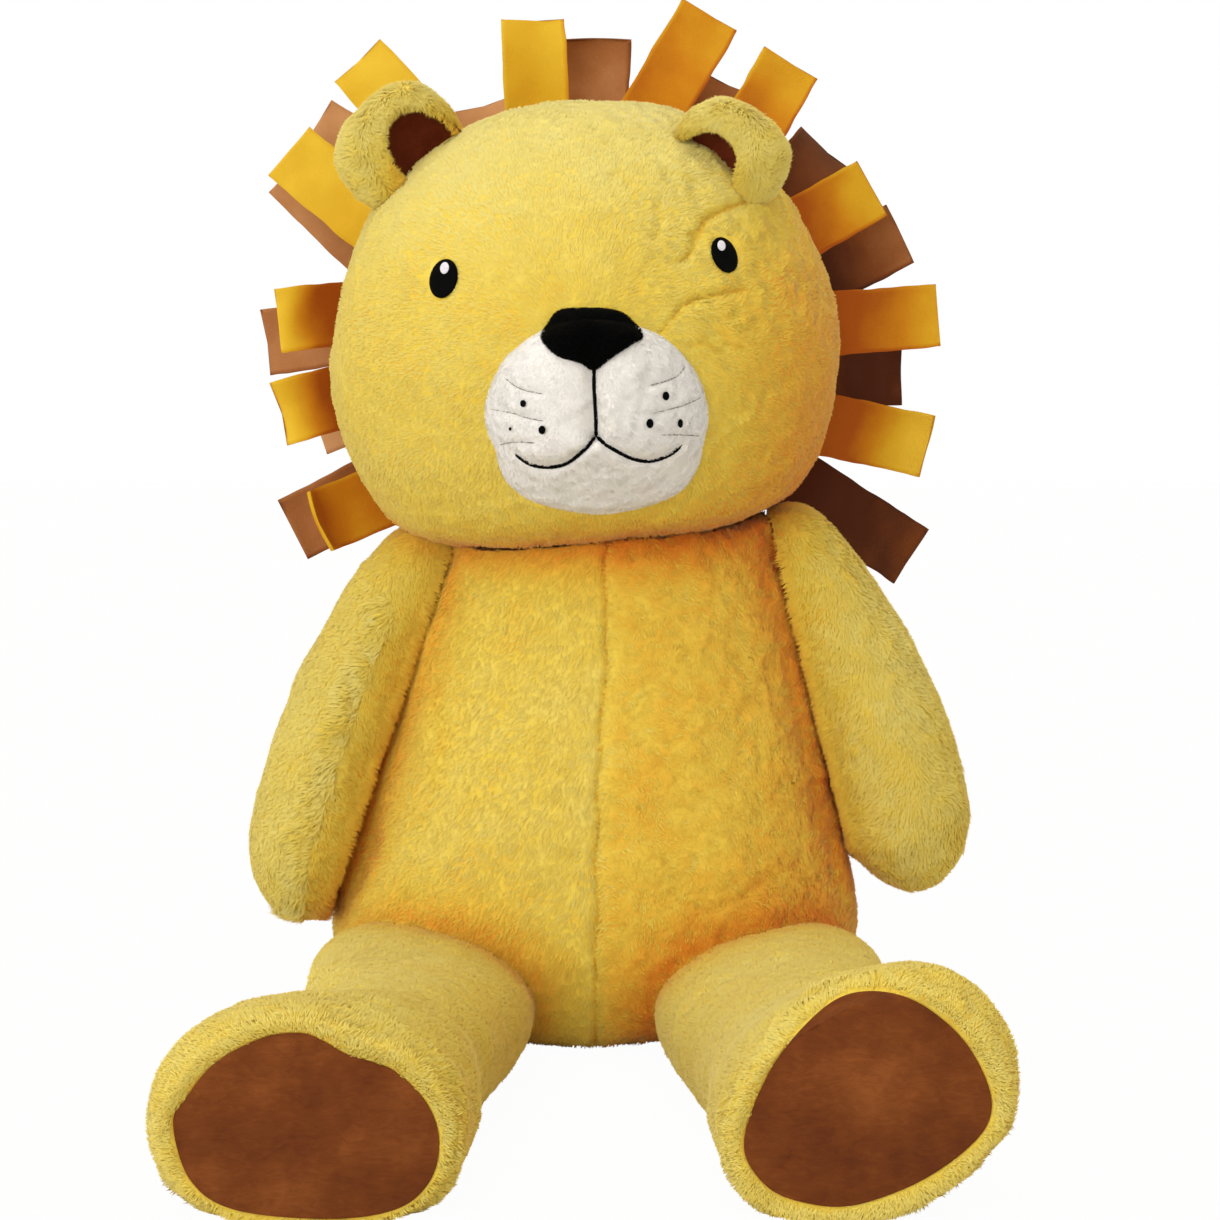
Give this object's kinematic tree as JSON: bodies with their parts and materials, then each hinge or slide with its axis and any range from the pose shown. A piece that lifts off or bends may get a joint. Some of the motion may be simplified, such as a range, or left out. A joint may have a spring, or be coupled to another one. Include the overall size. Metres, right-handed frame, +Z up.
{
  "type": "sitting plush lion",
  "caption": "Giant sitting plush lion with a stuffed body, turning head, swinging arms, lifting legs, felt strip mane, suede soles and a tufted tail.",
  "frame": {"origin": "on the floor under the middle of the seat", "axes": "+Z up; the lion faces -Y; +X is to the right of someone who faces the lion"},
  "size_m": [0.503, 0.6712, 0.7119],
  "materials": {
    "plush_yellow": "matte",
    "fibre_white": "matte",
    "felt_yellow": "matte",
    "felt_brown": "matte",
    "suede_brown": "matte",
    "lining_brown": "matte",
    "plush_white": "matte",
    "velvet_black": "matte",
    "thread_black": "satin"
  },
  "bodies": {
    "body": {"body_cover": "plush_yellow", "body_filling": "fibre_white"},
    "head": {"head_cover": "plush_yellow", "head_filling": "fibre_white", "muzzle": "plush_white", "nose": "velvet_black", "eye_left": "thread_black", "eye_right": "thread_black", "mane_yellow_01": "felt_yellow", "mane_yellow_02": "felt_yellow", "mane_yellow_03": "felt_yellow", "mane_yellow_04": "felt_yellow", "mane_yellow_05": "felt_yellow", "mane_yellow_06": "felt_yellow", "mane_yellow_07": "felt_yellow", "mane_yellow_08": "felt_yellow", "mane_yellow_09": "felt_yellow", "mane_yellow_10": "felt_yellow", "mane_yellow_11": "felt_yellow", "mane_brown_01": "felt_brown", "mane_brown_02": "felt_brown", "mane_brown_03": "felt_brown", "mane_brown_04": "felt_brown", "mane_brown_05": "felt_brown", "mane_brown_06": "felt_brown", "mane_brown_07": "felt_brown", "mane_brown_08": "felt_brown", "mane_brown_09": "felt_brown", "mane_brown_10": "felt_brown", "mane_brown_11": "felt_brown", "mane_brown_12": "felt_brown"},
    "ear_left": {"ear_left": "plush_yellow", "ear_lining_left": "lining_brown"},
    "ear_right": {"ear_right": "plush_yellow", "ear_lining_right": "lining_brown"},
    "arm_left": {"arm_left_cover": "plush_yellow", "arm_left_filling": "fibre_white"},
    "arm_right": {"arm_right_cover": "plush_yellow", "arm_right_filling": "fibre_white"},
    "leg_left": {"leg_left_cover": "plush_yellow", "leg_left_filling": "fibre_white", "sole_left": "suede_brown"},
    "leg_right": {"leg_right_cover": "plush_yellow", "leg_right_filling": "fibre_white", "sole_right": "suede_brown"},
    "tail": {"tail": "plush_yellow", "tail_tuft": "felt_brown"}
  },
  "joints": [
    {"name": "neck_turn", "type": "hinge", "parent": "body", "child": "head", "pos_m": [0.013, 0, 0.35], "axis": [0, 0, 1], "range_deg": [-10, 10], "stiffness_Nm_per_rad": 2},
    {"name": "ear_left_fold", "type": "hinge", "parent": "head", "child": "ear_left", "pos_m": [-0.11604, -0.04208, 0.58014], "axis": [0.7307, 0.033, 0.6819], "range_deg": [-12, 18], "stiffness_Nm_per_rad": 0.1},
    {"name": "ear_right_fold", "type": "hinge", "parent": "head", "child": "ear_right", "pos_m": [0.07381, -0.06522, 0.56865], "axis": [0.8185, 0.0321, -0.5736], "range_deg": [-12, 18], "stiffness_Nm_per_rad": 0.1},
    {"name": "arm_left_swing", "type": "hinge", "parent": "body", "child": "arm_left", "pos_m": [-0.12007, 0, 0.2681], "axis": [-0.9471, 0, 0.3209], "range_deg": [-25, 75]},
    {"name": "arm_right_swing", "type": "hinge", "parent": "body", "child": "arm_right", "pos_m": [0.13785, 0, 0.26721], "axis": [-0.9733, 0, -0.2296], "range_deg": [-25, 75]},
    {"name": "leg_left_lift", "type": "hinge", "parent": "body", "child": "leg_left", "pos_m": [-0.114, -0.11539, 0.077], "axis": [1, 0, 0], "range_deg": [-40, 0]},
    {"name": "leg_right_lift", "type": "hinge", "parent": "body", "child": "leg_right", "pos_m": [0.114, -0.11539, 0.077], "axis": [1, 0, 0], "range_deg": [-40, 0]},
    {"name": "tail_sway", "type": "hinge", "parent": "body", "child": "tail", "pos_m": [0, 0.119, 0.046], "axis": [0, 0, 1], "range_deg": [-25, 35]}
  ]
}
